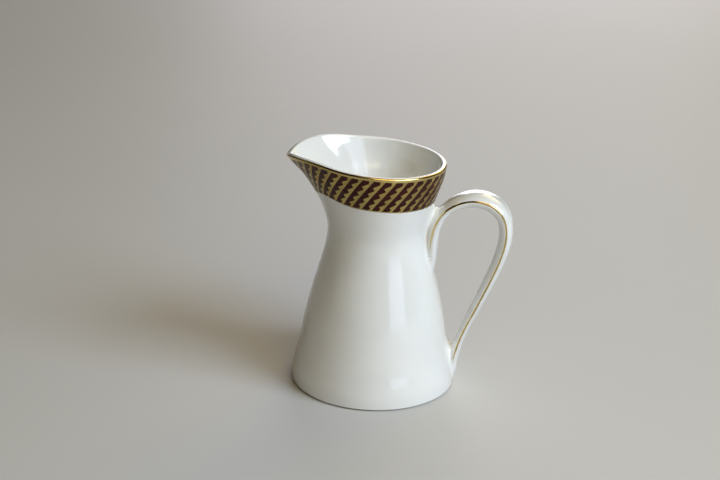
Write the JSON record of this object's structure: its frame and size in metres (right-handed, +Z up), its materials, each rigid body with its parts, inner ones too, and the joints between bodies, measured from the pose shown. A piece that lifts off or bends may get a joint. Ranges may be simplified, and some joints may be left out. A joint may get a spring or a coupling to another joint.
{
  "type": "porcelain cream jug",
  "caption": "Waisted glazed porcelain cream jug with a flared neck, pinched pouring spout, loop handle, gilded geometric neck band and gold lip line.",
  "frame": {"origin": "centre of the standing ring, on the table plane", "axes": "+Z up; +X towards the handle, the spout points to -X; the jug is symmetric about Y = 0"},
  "size_m": [0.1027, 0.075, 0.1094],
  "materials": {
    "glaze": "gloss white glaze",
    "bare_foot": "unglazed, ground",
    "decor": "gloss dark red-brown stripes on gold",
    "gold": "polished gilding"
  },
  "bodies": {
    "root": {"jug_body": "glaze", "foot_ring": "bare_foot", "handle": "glaze", "upper_slip_joint": "glaze", "lower_slip_joint": "glaze", "decor_band": "decor", "rim_gold_line": "gold", "handle_gold_line_front": "gold", "handle_gold_line_back": "gold"}
  },
  "joints": []
}
